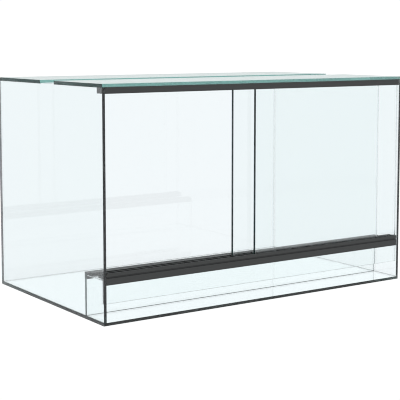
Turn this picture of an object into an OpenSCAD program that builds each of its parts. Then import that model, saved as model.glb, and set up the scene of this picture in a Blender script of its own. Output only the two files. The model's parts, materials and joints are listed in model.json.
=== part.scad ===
// Glass terrarium with two sliding front doors. Air comes in through a slot
// under a hanging apron strip, rises behind it through a perforated sheet and
// leaves by an open gap between the two top plates.
// Millimetres. +Z is up and the doors face -Y. The origin is the centre of
// the base plate's underside.

/* [Tank] */
// Outside width of the tank
tank_w = 500; // [400:10:800]
// Outside depth of the tank
tank_d = 300; // [260:10:500]
// Outside height of the tank
tank_h = 300; // [250:10:500]

/* [Glass] */
// Thickness of every pane
glass_t = 4; // [3:0.5:6]
// Ground bevel along each edge of a pane
bevel = 0.4; // [0.2:0.1:0.8]

/* [Top plates] */
// Depth of the front top plate
front_top_d = 127.5; // [80:2.5:140]
// Open vent gap between the two top plates
top_gap = 40; // [20:2.5:60]

/* [Lower front] */
// Height of the air slot under the apron
air_slot_h = 23; // [12:1:40]
// Height of the hanging apron strip
apron_h = 31; // [20:1:50]
// Depth of the air duct between the apron and the inner strip
duct_d = 41; // [36:0.5:60]

/* [Door rails] */
// Thickness of the channel walls
rail_wall = 2; // [1.2:0.1:2.4]
// Play of a door across its channel, both sides together
channel_play = 1.2; // [0.8:0.1:1.6]
// Thickness of the lower rail's base
rail_base = 2.7; // [2.5:0.1:5]
// Depth of the lower channels
lower_channel = 4.7; // [3:0.1:6]
// Thickness of the top rail's roof
rail_roof = 1; // [0.8:0.1:2]
// Depth of the top rail's channels
upper_channel = 7; // [6.5:0.1:12]
// Thickness of the skirt in front of the apron
skirt_t = 1.5; // [1:0.1:2.5]
// Reach of the skirt below the rail's base
skirt_h = 7.5; // [4:0.5:15]
// Height of the groove along the lower rail's face
groove_h = 2.2; // [1:0.1:2.4]
// Depth of the groove along the lower rail's face
groove_d = 0.8; // [0.4:0.1:1]
// Gap between each end of a plastic profile and the side panel
end_gap = 0.25; // [0.1:0.05:0.6]

/* [Doors] */
// Overlap of the two doors when both are shut
door_overlap = 28; // [10:1:60]
// Stand-off between a shut door and the side panel
door_stop = 0.3; // [0.3:0.1:1]
// Running gap under a door
door_foot_gap = 0.3; // [0.2:0.1:0.5]
// Reach of a door into the top rail's channel
door_reach = 2.3; // [1.5:0.1:2.5]
// Distance by which the left door stands open
door_open = 200; // [0:5:210]

/* [Vent sheet] */
// Thickness of the perforated sheet over the air duct
sheet_t = 0.8; // [0.6:0.1:1.2]
// Depth of the sheet's top below the apron's top edge
sheet_drop = 1.2; // [0.8:0.1:2]
// Gap between the sheet's rear edge and the clip behind it
sheet_gap = 0.3; // [0.2:0.1:0.8]
// Diameter of a hole
hole_d = 4; // [2:0.5:5]
// Distance from one hole to the next along a row
hole_pitch = 8; // [6:0.5:14]
// Number of rows of holes
hole_rows = 3; // [2:1:3]

/* [Strip clip] */
// Thickness of the clip's web, which lies on the inner strip
web_t = 2.1; // [1.2:0.1:3]
// Reach of the web over the sheet, in front of the clip's leg
web_cover = 6; // [4:0.5:8]
// Thickness of the clip's legs and of the lip under the sheet
clip_t = 1.2; // [0.8:0.1:1.6]
// Length of the clip's legs below the web
clip_leg = 6.5; // [5:0.5:12]
// Reach of the lip that carries the sheet
lip_d = 3; // [2:0.5:4]

/* [Silicone] */
// Leg of the silicone fillet in each inside corner
seam_leg = 3; // [2:0.25:4]
// Thickness of the fillet at its two lips
seam_lip = 0.15; // [0.1:0.05:0.3]
// Thickness of the silicone film under each door rail
bond_t = 0.3; // [0.2:0.05:0.8]
// Distance of that film from the rail's edges
bond_inset = 0.6; // [0.4:0.1:1]

/* [Hidden] */

$fn = 48;

glass_colour = [0.80, 0.90, 0.90];
plastic_colour = [0.22, 0.22, 0.22];
sheet_colour = [0.78, 0.79, 0.80];
silicone_colour = [0.90, 0.94, 0.94];

// Width: the side panels' inner faces and the plastic profiles between them
inner_x = tank_w / 2 - glass_t;
clear_w = 2 * inner_x;
profile_w = clear_w - 2 * end_gap;

// Depth, from the front face to the back
front_y = -tank_d / 2;
rear_y = tank_d / 2;
inner_rear_y = rear_y - glass_t;
rear_top_y = front_y + front_top_d + top_gap;
apron_y = front_y + skirt_t;
duct_y = apron_y + glass_t;
inner_strip_y = duct_y + duct_d;
chamber_y = inner_strip_y + glass_t;

// Height, from the floor up
floor_z = glass_t;
apron_z = floor_z + air_slot_h;
apron_top_z = apron_z + apron_h;
rail_z = apron_top_z + bond_t;
channel_floor_z = rail_z + rail_base;
rail_top_z = channel_floor_z + lower_channel;
sheet_top_z = apron_top_z - sheet_drop;
sheet_z = sheet_top_z - sheet_t;
clip_z = apron_top_z - clip_leg;
roof_z = tank_h - glass_t;
top_rail_z = roof_z - bond_t - rail_roof - upper_channel;

// Channels: the front one holds the right door and the rear one the left door
channel_w = glass_t + channel_play;
rail_d = 3 * rail_wall + 2 * channel_w;
front_channel_y = front_y + rail_wall;
rear_channel_y = front_channel_y + channel_w + rail_wall;
wall_bevel = rail_wall / 5;
groove_z = rail_base / 2 - bond_t;

// Doors
door_w = (clear_w + door_overlap) / 2 - door_stop;
door_z = channel_floor_z + door_foot_gap;
door_h = top_rail_z + door_reach - door_z;
left_door_x = -inner_x + door_stop + door_open;
right_door_x = inner_x - door_stop - door_w;

// Strip clip, and the rows of holes between the lower rail and its web
clip_front_y = inner_strip_y - clip_t;
web_front_y = clip_front_y - web_cover;
rail_rear_y = front_y + rail_d;
row_pitch = (web_front_y - rail_rear_y) / hole_rows;
hole_count = floor((profile_w - 2 * hole_pitch) / hole_pitch);

// Extrusions of a flat outline along one axis, starting at a corner
module run_x(from, length)
    translate(from) rotate([90, 0, 90]) linear_extrude(length) children();

module run_y(from, length)
    translate(from) rotate([90, 0, 0]) mirror([0, 0, 1]) linear_extrude(length) children();

module run_z(from, length)
    translate(from) linear_extrude(length) children();

// A part and its twin on the other side of the tank
module both_sides() {
    children();
    mirror([1, 0, 0]) children();
}

// A rectangle with its four corners cut off
module bevelled(width, height, cut)
    polygon([[cut, 0], [width - cut, 0], [width, cut], [width, height - cut],
        [width - cut, height], [cut, height], [0, height - cut], [0, cut]]);

// A glass pane with all twelve edges ground
module pane(from, size)
    color(glass_colour) intersection() {
        run_x(from, size.x) bevelled(size.y, size.z, bevel);
        run_y(from, size.y) bevelled(size.x, size.z, bevel);
        run_z(from, size.z) bevelled(size.x, size.y, bevel);
    }

module side_panel()
    pane([-tank_w / 2, front_y, floor_z], [glass_t, tank_d, roof_z - floor_z]);

module top_plate(from_y, depth)
    pane([-tank_w / 2, from_y, roof_z], [tank_w, depth, glass_t]);

// A strip across the tank, between the side panels
module strip(from_y, from_z, depth, height)
    pane([-inner_x, from_y, from_z], [clear_w, depth, height]);

// The hollow fillet of a silicone bead, with its legs towards the signs given
module cove(toward)
    mirror([toward.x < 0 ? 1 : 0, 0]) mirror([0, toward.y < 0 ? 1 : 0])
        difference() {
            square(seam_leg);
            translate([seam_leg + seam_lip, seam_leg + seam_lip]) circle(seam_leg);
        }

// A bead across the tank, between the beads along the side panels
module cross_bead(at_y, at_z, toward)
    run_x([seam_leg - inner_x, at_y, at_z], clear_w - 2 * seam_leg) cove(toward);

// A bead along the left side panel, from one depth to another
module side_bead(from_y, to_y, at_z, up)
    run_y([-inner_x, from_y, at_z], to_y - from_y) cove([1, up]);

// An upright bead on the left side panel
module upright_bead(at_y, from_z, to_z, back)
    run_z([-inner_x, at_y, from_z], to_z - from_z) cove([1, back]);

// Three channel walls side by side, standing on the line y = 0
module channel_walls(height)
    for (index = [0:2])
        translate([index * (channel_w + rail_wall), 0])
            polygon([[0, 0], [rail_wall, 0], [rail_wall, height - wall_bevel],
                [rail_wall - wall_bevel, height], [wall_bevel, height], [0, height - wall_bevel]]);

// Silicone under or over a door rail, as a flat outline along the rail
module rail_bond()
    color(silicone_colour)
        run_x([-profile_w / 2 + bond_inset, 0, 0], profile_w - 2 * bond_inset) children();

// A rectangle of that outline, up to the bond's edge at the rail's rear
module bond_layer(from_y, from_z, to_z)
    translate([from_y, from_z])
        square([rail_rear_y - bond_inset - from_y, to_z - from_z]);

module base_plate() pane([-tank_w / 2, front_y, 0], [tank_w, tank_d, glass_t]);

module left_panel() side_panel();

module right_panel() mirror([1, 0, 0]) side_panel();

module rear_panel() strip(inner_rear_y, floor_z, glass_t, roof_z - floor_z);

module front_top_plate() top_plate(front_y, front_top_d);

module rear_top_plate() top_plate(rear_top_y, rear_y - rear_top_y);

// Hangs between the side panels, with the air slot below it
module front_apron() strip(apron_y, apron_z, glass_t, apron_h);

// Stands on the base plate and holds the chamber's floor litter back
module inner_strip() strip(inner_strip_y, floor_z, glass_t, apron_top_z - floor_z);

// Covers the air duct, from the apron to the lip of the strip clip
module vent_sheet()
    color(sheet_colour)
        difference() {
            translate([-profile_w / 2, duct_y, sheet_z])
                cube([profile_w, clip_front_y - sheet_gap - duct_y, sheet_t]);
            for (row = [0:hole_rows - 1])
                hole_row(rail_rear_y + (row + 0.5) * row_pitch, hole_count - row % 2);
        }

// A row of holes across the tank, centred on it
module hole_row(at_y, count)
    for (index = [0:count - 1])
        translate([(index - (count - 1) / 2) * hole_pitch, at_y, sheet_z - sheet_t])
            cylinder(h = 3 * sheet_t, d = hole_d);

// Sits on the inner strip's top edge and holds the sheet's rear edge
module strip_clip()
    color(plastic_colour)
        run_x([-profile_w / 2, 0, 0], profile_w) {
            translate([web_front_y, apron_top_z])
                square([chamber_y + clip_t - web_front_y, web_t]);
            for (leg_y = [clip_front_y, chamber_y])
                translate([leg_y, clip_z]) square([clip_t, clip_leg]);
            translate([clip_front_y - lip_d, sheet_z - clip_t]) square([lip_d, clip_t]);
        }

// Double channel with a skirt over the apron and a groove along its face
module lower_rail()
    color(plastic_colour)
        run_x([-profile_w / 2, front_y, rail_z], profile_w)
            difference() {
                union() {
                    square([rail_d, rail_base]);
                    translate([0, -skirt_h]) square([skirt_t, skirt_h]);
                    translate([0, rail_base]) channel_walls(lower_channel);
                }
                translate([-groove_d, groove_z]) square([2 * groove_d, groove_h]);
            }

// The same double channel upside down, deep enough to lift the doors out
module top_rail()
    color(plastic_colour)
        run_x([-profile_w / 2, front_y, roof_z - bond_t], profile_w)
            mirror([0, 1]) {
                square([rail_d, rail_roof]);
                translate([0, rail_roof]) channel_walls(upper_channel);
            }

module left_door()
    pane([left_door_x, rear_channel_y + channel_play / 2, door_z], [door_w, glass_t, door_h]);

module right_door()
    pane([right_door_x, front_channel_y + channel_play / 2, door_z], [door_w, glass_t, door_h]);

// One bead in front of the inner strip and one behind it
module left_base_seam()
    color(silicone_colour) {
        side_bead(apron_y, inner_strip_y, floor_z, 1);
        side_bead(chamber_y, inner_rear_y, floor_z, 1);
    }

module right_base_seam() mirror([1, 0, 0]) left_base_seam();

module rear_base_seam() color(silicone_colour) cross_bead(inner_rear_y, floor_z, [-1, 1]);

module left_rear_seam()
    color(silicone_colour)
        upright_bead(inner_rear_y, floor_z + seam_leg, roof_z - seam_leg, -1);

module right_rear_seam() mirror([1, 0, 0]) left_rear_seam();

module front_top_seams()
    color(silicone_colour)
        both_sides() side_bead(rail_rear_y, front_y + front_top_d, roof_z, -1);

module rear_top_seams()
    color(silicone_colour) {
        both_sides() side_bead(rear_top_y, inner_rear_y, roof_z, -1);
        cross_bead(inner_rear_y, roof_z, [-1, -1]);
    }

module inner_strip_seams()
    color(silicone_colour) {
        both_sides() upright_bead(chamber_y, floor_z + seam_leg, clip_z, 1);
        cross_bead(chamber_y, floor_z, [1, 1]);
    }

module apron_seams()
    color(silicone_colour)
        both_sides() upright_bead(duct_y, apron_z, sheet_z - seam_leg, 1);

module sheet_seam() color(silicone_colour) cross_bead(duct_y, sheet_z, [1, -1]);

// A film on the apron's top edge and a deeper bed on the sheet behind it
module lower_rail_bond()
    rail_bond() {
        bond_layer(apron_y + bond_inset, apron_top_z, rail_z);
        bond_layer(duct_y, sheet_top_z, rail_z);
    }

module top_rail_bond() rail_bond() bond_layer(front_y + bond_inset, roof_z - bond_t, roof_z);

base_plate();
left_panel();
right_panel();
rear_panel();
front_top_plate();
rear_top_plate();
front_apron();
inner_strip();
vent_sheet();
strip_clip();
lower_rail();
top_rail();
left_door();
right_door();
left_base_seam();
right_base_seam();
rear_base_seam();
left_rear_seam();
right_rear_seam();
front_top_seams();
rear_top_seams();
inner_strip_seams();
apron_seams();
sheet_seam();
lower_rail_bond();
top_rail_bond();
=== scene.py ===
# Glass terrarium with sliding front doors, dressed for a plain white studio
import json
import math

import bmesh
import bpy
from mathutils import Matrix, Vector


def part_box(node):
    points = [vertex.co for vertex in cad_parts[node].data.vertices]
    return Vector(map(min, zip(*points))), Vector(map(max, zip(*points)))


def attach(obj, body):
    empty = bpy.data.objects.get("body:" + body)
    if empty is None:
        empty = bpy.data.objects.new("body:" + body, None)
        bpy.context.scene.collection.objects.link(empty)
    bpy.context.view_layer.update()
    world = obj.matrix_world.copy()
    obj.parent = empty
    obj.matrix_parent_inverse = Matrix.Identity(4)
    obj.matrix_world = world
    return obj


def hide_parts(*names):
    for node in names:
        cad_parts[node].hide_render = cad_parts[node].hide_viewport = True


mm = 0.001
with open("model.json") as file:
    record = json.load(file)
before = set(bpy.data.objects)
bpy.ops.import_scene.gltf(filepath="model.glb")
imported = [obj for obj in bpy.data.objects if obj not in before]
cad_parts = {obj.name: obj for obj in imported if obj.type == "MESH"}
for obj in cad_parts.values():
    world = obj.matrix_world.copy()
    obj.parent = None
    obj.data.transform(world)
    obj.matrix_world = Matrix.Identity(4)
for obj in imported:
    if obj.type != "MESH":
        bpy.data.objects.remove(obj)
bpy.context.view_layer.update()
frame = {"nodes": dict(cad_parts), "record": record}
bodyOf = {}
for bodyName, nodeNames in frame["record"]["behaviour"]["bodies"].items():
    for nodeName in nodeNames:
        bodyOf[nodeName] = bodyName
print("frame loaded:", len(bodyOf), "nodes")


# Small helpers

def newMaterial(name):
    material = bpy.data.materials.new(name)
    material.use_nodes = True
    tree = material.node_tree
    tree.nodes.clear()
    output = tree.nodes.new("ShaderNodeOutputMaterial")
    return material, tree, output


def addNode(tree, kind, values=None, **settings):
    node = tree.nodes.new(kind)
    for key, value in settings.items():
        setattr(node, key, value)
    for key, value in (values or {}).items():
        node.inputs[key].default_value = value
    return node


def newGroup(name, inputs, outputs):
    group = bpy.data.node_groups.new(name, "ShaderNodeTree")
    for label, kind, value in inputs:
        socket = group.interface.new_socket(label, in_out="INPUT", socket_type=kind)
        socket.default_value = value
    for label, kind in outputs:
        group.interface.new_socket(label, in_out="OUTPUT", socket_type=kind)
    return group, group.nodes.new("NodeGroupInput"), group.nodes.new("NodeGroupOutput")


def useGroup(tree, group, values):
    node = tree.nodes.new("ShaderNodeGroup")
    node.node_tree = group
    for key, value in values.items():
        node.inputs[key].default_value = value
    return node


def blendColours(tree, factor, first, second):
    blend = addNode(tree, "ShaderNodeMix", data_type="RGBA")
    blend.inputs["A"].default_value = first
    blend.inputs["B"].default_value = second
    tree.links.new(factor, blend.inputs["Factor"])
    return blend.outputs["Result"]


# Ambient occlusion, turned into painted shade by the plastic and the sheet
def opennessOn(tree, reach):
    around = addNode(tree, "ShaderNodeAmbientOcclusion", {"Distance": reach}, samples=8)
    return around.outputs["AO"]


def bumpFrom(tree, grain, setup):
    bump = addNode(tree, "ShaderNodeBump", {
        "Strength": setup["bump"],
        "Distance": setup["bumpDepth"],
    })
    tree.links.new(grain.outputs["Height"], bump.inputs["Height"])
    return bump


def boxForm(low, high):
    form = bmesh.new()
    bmesh.ops.create_cube(form, size=1)
    for vertex in form.verts:
        vertex.co = Vector([
            low[axis] if vertex.co[axis] < 0 else high[axis] for axis in range(3)
        ])
    return form


def objectFromMesh(name, meshData, material):
    mesh = bpy.data.meshes.new(name)
    meshData.to_mesh(mesh)
    meshData.free()
    mesh.materials.append(material)
    piece = bpy.data.objects.new(name, mesh)
    bpy.context.scene.collection.objects.link(piece)
    return piece


def standFor(piece, nodeName):
    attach(piece, bodyOf[nodeName])
    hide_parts(nodeName)


def finishNode(nodeName, material):
    for place in frame["nodes"][nodeName].material_slots:
        place.material = material


# Camera, at the photograph's viewpoint

cameraSetup = {
    "place": (-0.9232, -1.3436, 0.3528),  # left of the tank, a little above its top
    "yaw": 34.394,  # degrees from straight ahead towards +X
    "pitch": 5.674,  # degrees downwards
    "lens": 101.36,
    "sensor": 36.0,
    "lift": -0.12,  # keeps the uprights nearly upright
    "near": 0.05,
    "far": 60.0,
}


def makeCamera(setup):
    data = bpy.data.cameras.new("camera")
    data.lens = setup["lens"]
    data.sensor_width = setup["sensor"]
    data.shift_y = setup["lift"]
    data.clip_start = setup["near"]
    data.clip_end = setup["far"]
    camera = bpy.data.objects.new("camera", data)
    camera.location = setup["place"]
    camera.rotation_euler = (
        math.radians(90 - setup["pitch"]),
        0,
        math.radians(-setup["yaw"]),
    )
    bpy.context.scene.collection.objects.link(camera)
    bpy.context.scene.camera = camera


makeCamera(cameraSetup)
print("camera placed")


# A grain of noise that every material of the tank takes, each with its own values

grainSetup = {
    "detail": 3.0,
    "roughness": 0.55,
    "darkest": 0.3,  # the noise's useful range
    "lightest": 0.7,
}


def makeGrainGroup(setup):
    group, given, wanted = newGroup(
        "fineGrain",
        [
            ("Vector", "NodeSocketVector", (0, 0, 0)),
            ("Stretch", "NodeSocketVector", (1, 1, 1)),
            ("Scale", "NodeSocketFloat", 100.0),
            ("Low", "NodeSocketFloat", 0.0),
            ("High", "NodeSocketFloat", 1.0),
        ],
        [("Value", "NodeSocketFloat"), ("Height", "NodeSocketFloat")],
    )
    stretch = addNode(group, "ShaderNodeVectorMath", operation="MULTIPLY")
    grain = addNode(group, "ShaderNodeTexNoise", {
        "Detail": setup["detail"],
        "Roughness": setup["roughness"],
    })
    spread = addNode(group, "ShaderNodeMapRange", {
        "From Min": setup["darkest"],
        "From Max": setup["lightest"],
    })
    group.links.new(given.outputs["Vector"], stretch.inputs[0])
    group.links.new(given.outputs["Stretch"], stretch.inputs[1])
    group.links.new(stretch.outputs[0], grain.inputs["Vector"])
    group.links.new(given.outputs["Scale"], grain.inputs["Scale"])
    group.links.new(grain.outputs["Fac"], spread.inputs["Value"])
    group.links.new(given.outputs["Low"], spread.inputs["To Min"])
    group.links.new(given.outputs["High"], spread.inputs["To Max"])
    group.links.new(spread.outputs["Result"], wanted.inputs["Value"])
    group.links.new(grain.outputs["Fac"], wanted.inputs["Height"])
    return group


def grainOn(tree, **values):
    place = addNode(tree, "ShaderNodeTexCoord")
    grain = useGroup(tree, fineGrain, values)
    tree.links.new(place.outputs["Object"], grain.inputs["Vector"])
    return grain


fineGrain = makeGrainGroup(grainSetup)
print("grain group built")


# Glass

glassSetup = {
    "ior": 1.52,
    "density": 10.0,  # per metre of glass
    "depthColour": (0.08, 0.56, 0.50, 1),
    "inset": 0.02 * mm,  # hairline between panes that meet
    "arris": 0.08 * mm,
    "grinding": 900.0,  # scale of the ground edges' grain
    "groundLow": 0.20,  # roughness of the ground edges
    "groundHigh": 0.38,
    # painted shade that darkens the ground edges
    "groundEdgeShade": (0.88, 0.91, 0.91, 1),
    "paneTint": (1, 1, 1, 1),
}


def makeGlass(setup):
    material, tree, output = newMaterial("floatGlass")
    shader = addNode(tree, "ShaderNodeBsdfPrincipled", {
        "IOR": setup["ior"],
        "Transmission Weight": 1.0,
    })
    grinding = grainOn(
        tree, Scale=setup["grinding"], Low=setup["groundLow"], High=setup["groundHigh"],
    )
    edge = addNode(tree, "ShaderNodeAttribute", attribute_name="groundEdge")
    rough = addNode(tree, "ShaderNodeMath", operation="MULTIPLY")
    tree.links.new(grinding.outputs["Value"], rough.inputs[0])
    tree.links.new(edge.outputs["Fac"], rough.inputs[1])
    tree.links.new(rough.outputs[0], shader.inputs["Roughness"])
    # Painted shade: the ground edges take a darker base colour, which dims light passing through
    # them
    tint = blendColours(tree, edge.outputs["Fac"], setup["paneTint"], setup["groundEdgeShade"])
    tree.links.new(tint, shader.inputs["Base Color"])
    depth = addNode(tree, "ShaderNodeVolumeAbsorption", {
        "Color": setup["depthColour"],
        "Density": setup["density"],
    })
    tree.links.new(shader.outputs["BSDF"], output.inputs["Surface"])
    tree.links.new(depth.outputs["Volume"], output.inputs["Volume"])
    return material


def markEdges(form, low, high):
    size = high - low
    thin = min(range(3), key=lambda axis: size[axis])
    mask = form.faces.layers.float.new("groundEdge")
    for face in form.faces:
        face[mask] = 0.0 if abs(face.normal[thin]) > 0.99 else 1.0


def makePane(nodeName, material, setup):
    low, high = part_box(nodeName)
    inset = Vector((setup["inset"],) * 3)
    low, high = low + inset, high - inset
    form = boxForm(low, high)
    bmesh.ops.bevel(
        form, geom=form.edges[:], offset=setup["arris"], offset_type="OFFSET",
        segments=2, profile=0.5, affect="EDGES",
    )
    form.normal_update()
    markEdges(form, low, high)
    piece = objectFromMesh(nodeName + ".pane", form, material)
    standFor(piece, nodeName)


floatGlass = makeGlass(glassSetup)
paneNodes = [
    "base_plate", "left_panel", "right_panel", "rear_panel", "front_top_plate",
    "rear_top_plate", "front_apron", "inner_strip", "left_door", "right_door",
]
for nodeName in paneNodes:
    makePane(nodeName, floatGlass, glassSetup)
print("panes made:", len(paneNodes))


# Thin dark films on bonded edges and skins on ground ones, painted shade seen as fine dark lines

filmSetup = {
    "thin": 0.12 * mm,
    "thick": 0.8 * mm,  # on the panels, under the top plates
    "inset": 0.05 * mm,  # its sides lie just inside the glass
    "gap": 0.002 * mm,  # between the film's broad side and the pane's own side
    "streaks": 90.0,
    # dark teal of the painted shade lines
    "colour": (0.012, 0.045, 0.042, 1),
    "roughness": 0.5,
    "sheen": 0.25,
    "full": (0.85, 1.0),  # how much of the film shows, at least and at most
    "faint": (0.12, 0.30),
    "ends": (0.24, 0.38),
}


# Painted shade: a dark, partly see-through finish whose streaky alpha sets how much of the line
# shows
def makeShadeFilm(name, setup, shows):
    material, tree, output = newMaterial(name)
    shader = addNode(tree, "ShaderNodeBsdfPrincipled", {
        "Base Color": setup["colour"],
        "Roughness": setup["roughness"],
        "Specular IOR Level": setup["sheen"],
    })
    streaks = grainOn(tree, Scale=setup["streaks"], Low=shows[0], High=shows[1])
    tree.links.new(streaks.outputs["Value"], shader.inputs["Alpha"])
    tree.links.new(shader.outputs["BSDF"], output.inputs["Surface"])
    return material


def makeFilm(nodeName, label, axis, atHigh, depth, material, setup, reach=None):
    low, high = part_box(nodeName)
    if reach:  # where it starts and ends along Y
        low[1], high[1] = reach
    inset = Vector((setup["inset"],) * 3)
    inset[axis] = setup["gap"]
    low, high = low + inset, high - inset
    if atHigh:
        low[axis] = high[axis] - depth
    else:
        high[axis] = low[axis] + depth
    form = boxForm(low, high)
    bmesh.ops.subdivide_edges(form, edges=form.edges[:], cuts=1, use_grid_fill=True)
    piece = objectFromMesh(nodeName + "." + label, form, material)
    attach(piece, bodyOf[nodeName])


fullShadeFilm = makeShadeFilm("jointShadeFilm", filmSetup, filmSetup["full"])
faintShadeFilm = makeShadeFilm("thinJointShadeFilm", filmSetup, filmSetup["faint"])
edgeShadeSkin = makeShadeFilm("edgeShadeSkin", filmSetup, filmSetup["ends"])
filmPlaces = (  # node, name, axis the film is thin along, at that axis' high end or not, finish
    ("inner_strip", "foot_shade_film", 2, False, fullShadeFilm),
    ("inner_strip", "left_shade_film", 0, False, fullShadeFilm),
    ("inner_strip", "right_shade_film", 0, True, faintShadeFilm),
    ("left_panel", "foot_shade_film", 2, False, fullShadeFilm),
    ("right_panel", "foot_shade_film", 2, False, faintShadeFilm),
    ("rear_panel", "foot_shade_film", 2, False, faintShadeFilm),
    ("left_panel", "rear_shade_skin", 1, True, edgeShadeSkin),
    ("right_panel", "rear_shade_skin", 1, True, edgeShadeSkin),
    ("front_top_plate", "left_shade_skin", 0, False, edgeShadeSkin),
    ("rear_top_plate", "left_shade_skin", 0, False, edgeShadeSkin),
    ("left_door", "left_shade_skin", 0, False, edgeShadeSkin),
    ("right_door", "left_shade_skin", 0, False, edgeShadeSkin),
)
for nodeName, label, axis, atHigh, film in filmPlaces:
    makeFilm(nodeName, label, axis, atHigh, filmSetup["thin"], film, filmSetup)
for nodeName in ("left_panel", "right_panel"):
    for plate in ("front_top_plate", "rear_top_plate"):
        low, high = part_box(plate)
        label = plate.split("_")[0] + "_joint_shade"
        reach = (low[1], high[1])
        makeFilm(nodeName, label, 2, True, filmSetup["thick"], fullShadeFilm, filmSetup, reach)
makeFilm("rear_panel", "top_joint_shade", 2, True, filmSetup["thick"], fullShadeFilm, filmSetup)
print("films and skins made")


# Black plastic profiles

plasticSetup = {
    "face": (0.042, 0.042, 0.041, 1),
    "recessShade": (0.008, 0.008, 0.008, 1),
    "recessShadeReach": 12.0 * mm,
    "closed": 0.55,  # share of open surroundings where the painted shade in a recess is darkest
    "open": 0.95,
    "rounding": 0.4 * mm,  # softens the extruded corners
    "sheen": 0.28,  # below 0.5, as the plastic is satin
    "lines": 1400.0,
    "lineStretch": (0.01, 1, 1),  # along the extrusion
    "glossy": 0.40,
    "dull": 0.55,
    "bump": 0.15,
    "bumpDepth": 0.05 * mm,
}


def makePlastic(setup):
    material, tree, output = newMaterial("blackPlastic")
    shader = addNode(tree, "ShaderNodeBsdfPrincipled", {"Specular IOR Level": setup["sheen"]})
    # Painted shade: ambient occlusion darkens the base colour towards the recess shade in
    # channels and grooves
    openness = opennessOn(tree, setup["recessShadeReach"])
    depth = addNode(tree, "ShaderNodeMapRange", {
        "From Min": setup["closed"],
        "From Max": setup["open"],
    })
    tree.links.new(openness, depth.inputs["Value"])
    shadedTone = blendColours(tree, depth.outputs["Result"], setup["recessShade"], setup["face"])
    tree.links.new(shadedTone, shader.inputs["Base Color"])
    lines = grainOn(
        tree, Scale=setup["lines"], Stretch=setup["lineStretch"],
        Low=setup["glossy"], High=setup["dull"],
    )
    tree.links.new(lines.outputs["Value"], shader.inputs["Roughness"])
    rounded = addNode(tree, "ShaderNodeBevel", {"Radius": setup["rounding"]}, samples=6)
    bump = bumpFrom(tree, lines, setup)
    tree.links.new(rounded.outputs["Normal"], bump.inputs["Normal"])
    tree.links.new(bump.outputs["Normal"], shader.inputs["Normal"])
    tree.links.new(shader.outputs["BSDF"], output.inputs["Surface"])
    return material


blackPlastic = makePlastic(plasticSetup)
for nodeName in ("lower_rail", "top_rail", "strip_clip"):
    finishNode(nodeName, blackPlastic)
print("profiles finished")


# Perforated aluminium sheet, with faint rolling lines along it

sheetSetup = {
    "cleanAndLit": (0.86, 0.87, 0.88, 1),
    # colour of the dull blotches, and also of the painted shade round the holes
    "dull": (0.70, 0.71, 0.72, 1),
    "blotches": 70.0,
    "blotchLow": 0.55,  # how clean the sheet is, at least and at most
    "blotchHigh": 1.0,
    "lines": 1800.0,
    "lineStretch": (0.01, 1, 1),  # along the sheet
    "glossy": 0.24,
    "matt": 0.40,
    "holeShadeReach": 1.2 * mm,
    "bump": 0.1,
    "bumpDepth": 0.02 * mm,
}


def makeSheetMetal(setup):
    material, tree, output = newMaterial("rolledAluminium")
    shader = addNode(tree, "ShaderNodeBsdfPrincipled", {"Metallic": 1.0})
    # Painted shade: ambient occlusion round the holes darkens the sheet, together with the real
    # dull blotches
    openness = opennessOn(tree, setup["holeShadeReach"])
    blotches = grainOn(
        tree, Scale=setup["blotches"], Low=setup["blotchLow"], High=setup["blotchHigh"],
    )
    cleanAndLit = addNode(tree, "ShaderNodeMath", operation="MULTIPLY")
    tree.links.new(openness, cleanAndLit.inputs[0])
    tree.links.new(blotches.outputs["Value"], cleanAndLit.inputs[1])
    shadedTone = blendColours(tree, cleanAndLit.outputs[0], setup["dull"], setup["cleanAndLit"])
    tree.links.new(shadedTone, shader.inputs["Base Color"])
    lines = grainOn(
        tree, Scale=setup["lines"], Stretch=setup["lineStretch"],
        Low=setup["glossy"], High=setup["matt"],
    )
    tree.links.new(lines.outputs["Value"], shader.inputs["Roughness"])
    bump = bumpFrom(tree, lines, setup)
    tree.links.new(bump.outputs["Normal"], shader.inputs["Normal"])
    tree.links.new(shader.outputs["BSDF"], output.inputs["Surface"])
    return material


finishNode("vent_sheet", makeSheetMetal(sheetSetup))
print("vent sheet finished")


# Clear silicone

siliconeSetup = {
    "colour": (0.90, 0.93, 0.93, 1),
    "roughness": 0.18,
    "ior": 1.41,
    "streaks": 120.0,
    "thin": 0.01,  # how much of the bead shows, at least and at most
    "thick": 0.045,
    "bump": 0.1,
    "bumpDepth": 0.3 * mm,
}


def makeSilicone(setup):
    material, tree, output = newMaterial("clearSilicone")
    shader = addNode(tree, "ShaderNodeBsdfPrincipled", {
        "Base Color": setup["colour"],
        "Roughness": setup["roughness"],
        "IOR": setup["ior"],
    })
    streaks = grainOn(tree, Scale=setup["streaks"], Low=setup["thin"], High=setup["thick"])
    tree.links.new(streaks.outputs["Value"], shader.inputs["Alpha"])
    bump = bumpFrom(tree, streaks, setup)
    tree.links.new(bump.outputs["Normal"], shader.inputs["Normal"])
    tree.links.new(shader.outputs["BSDF"], output.inputs["Surface"])
    return material


clearSilicone = makeSilicone(siliconeSetup)
for nodeName in bodyOf:
    if nodeName.endswith(("seam", "seams", "bond")):
        finishNode(nodeName, clearSilicone)
print("silicone finished")


# Studio: a white floor under an even white sky

studioSetup = {
    "floorSize": 60.0,
    "white": 1.04,  # seen straight
    "behind": (0.905, 0.935, 0.957, 1),  # seen through or in the glass and the plastic
    "low": (0.842, 0.926, 0.910, 1),  # the same just above the horizon
    "floorTone": 0.03,
    "left": 1.2,
    "front": 0.9,
    "horizon": 0.87,
    "haze": 1.18,  # band above the horizon
    "hazeFrom": 0.15,  # heights of the band, 0 at the horizon and 1 overhead
    "hazeTo": 0.3,
    "top": 1.1,
}


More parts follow.
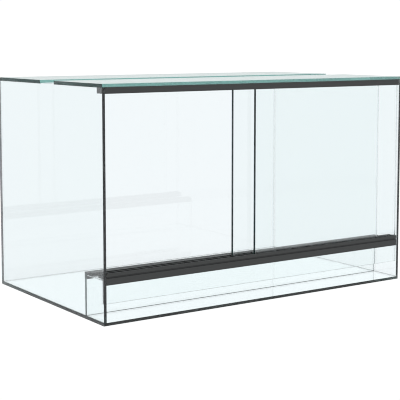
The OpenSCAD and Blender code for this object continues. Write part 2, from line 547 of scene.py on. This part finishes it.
def splitForCamera(tree, straight, indirect):
    path = addNode(tree, "ShaderNodeLightPath")
    choice = addNode(tree, "ShaderNodeMixShader")
    tree.links.new(path.outputs["Is Camera Ray"], choice.inputs["Fac"])
    tree.links.new(indirect.outputs[0], choice.inputs[1])
    tree.links.new(straight.outputs[0], choice.inputs[2])
    return choice


def makeFloor(setup):
    form = bmesh.new()
    bmesh.ops.create_grid(form, x_segments=1, y_segments=1, size=setup["floorSize"] / 2)
    material, tree, output = newMaterial("whiteFloor")
    white = addNode(tree, "ShaderNodeEmission", {"Strength": setup["white"]})
    glow = addNode(tree, "ShaderNodeEmission", {"Color": setup["behind"]})
    matt = addNode(tree, "ShaderNodeBsdfDiffuse", {"Color": (setup["floorTone"],) * 3 + (1,)})
    both = addNode(tree, "ShaderNodeAddShader")
    tree.links.new(glow.outputs[0], both.inputs[0])
    tree.links.new(matt.outputs[0], both.inputs[1])
    choice = splitForCamera(tree, white, both)
    tree.links.new(choice.outputs[0], output.inputs["Surface"])
    floor = objectFromMesh("floor", form, material)


def makeSky(setup):
    world = bpy.data.worlds.new("studio")
    bpy.context.scene.world = world
    world.use_nodes = True
    tree = world.node_tree
    tree.nodes.clear()
    output = addNode(tree, "ShaderNodeOutputWorld")
    place = addNode(tree, "ShaderNodeTexCoord")
    axes = addNode(tree, "ShaderNodeSeparateXYZ")
    tree.links.new(place.outputs["Generated"], axes.inputs[0])
    level = None
    for axis, start, end, startLevel, endLevel in (
        ("X", 0.0, -1.0, 0.0, setup["left"] - 1.0),
        ("Y", 0.0, -1.0, 0.0, setup["front"] - 1.0),
        ("Z", setup["hazeTo"], 1.0, 0.0, setup["top"] - setup["haze"]),
        ("Z", 0.0, setup["hazeFrom"], setup["horizon"], setup["haze"]),
    ):
        ramp = addNode(tree, "ShaderNodeMapRange", {
            "From Min": start,
            "From Max": end,
            "To Min": startLevel,
            "To Max": endLevel,
        })
        ramp.interpolation_type = "SMOOTHSTEP"
        tree.links.new(axes.outputs[axis], ramp.inputs["Value"])
        if level is None:
            level = ramp.outputs["Result"]
            continue
        total = addNode(tree, "ShaderNodeMath", operation="ADD")
        tree.links.new(level, total.inputs[0])
        tree.links.new(ramp.outputs["Result"], total.inputs[1])
        level = total.outputs[0]
    white = addNode(tree, "ShaderNodeBackground", {
        "Color": (1, 1, 1, 1),
        "Strength": setup["white"],
    })
    climb = addNode(tree, "ShaderNodeMapRange", {"From Min": 0.0, "From Max": setup["hazeFrom"]})
    tree.links.new(axes.outputs["Z"], climb.inputs["Value"])
    tint = blendColours(tree, climb.outputs["Result"], setup["low"], setup["behind"])
    sky = addNode(tree, "ShaderNodeBackground")
    tree.links.new(tint, sky.inputs["Color"])
    tree.links.new(level, sky.inputs["Strength"])
    choice = splitForCamera(tree, white, sky)
    tree.links.new(choice.outputs[0], output.inputs["Surface"])


lookSetup = {
    "bounces": 28,  # enough for light that runs along inside a pane
    "clearBounces": 16,
    "pixelFilter": 1.1,
}


def setLook(setup):
    scene = bpy.context.scene
    scene.view_settings.view_transform = "Standard"
    scene.view_settings.look = "None"
    scene.cycles.max_bounces = setup["bounces"]
    scene.cycles.transmission_bounces = setup["bounces"]
    scene.cycles.transparent_max_bounces = setup["clearBounces"]
    scene.cycles.filter_width = setup["pixelFilter"]


makeFloor(studioSetup)
makeSky(studioSetup)
setLook(lookSetup)
print("studio ready")
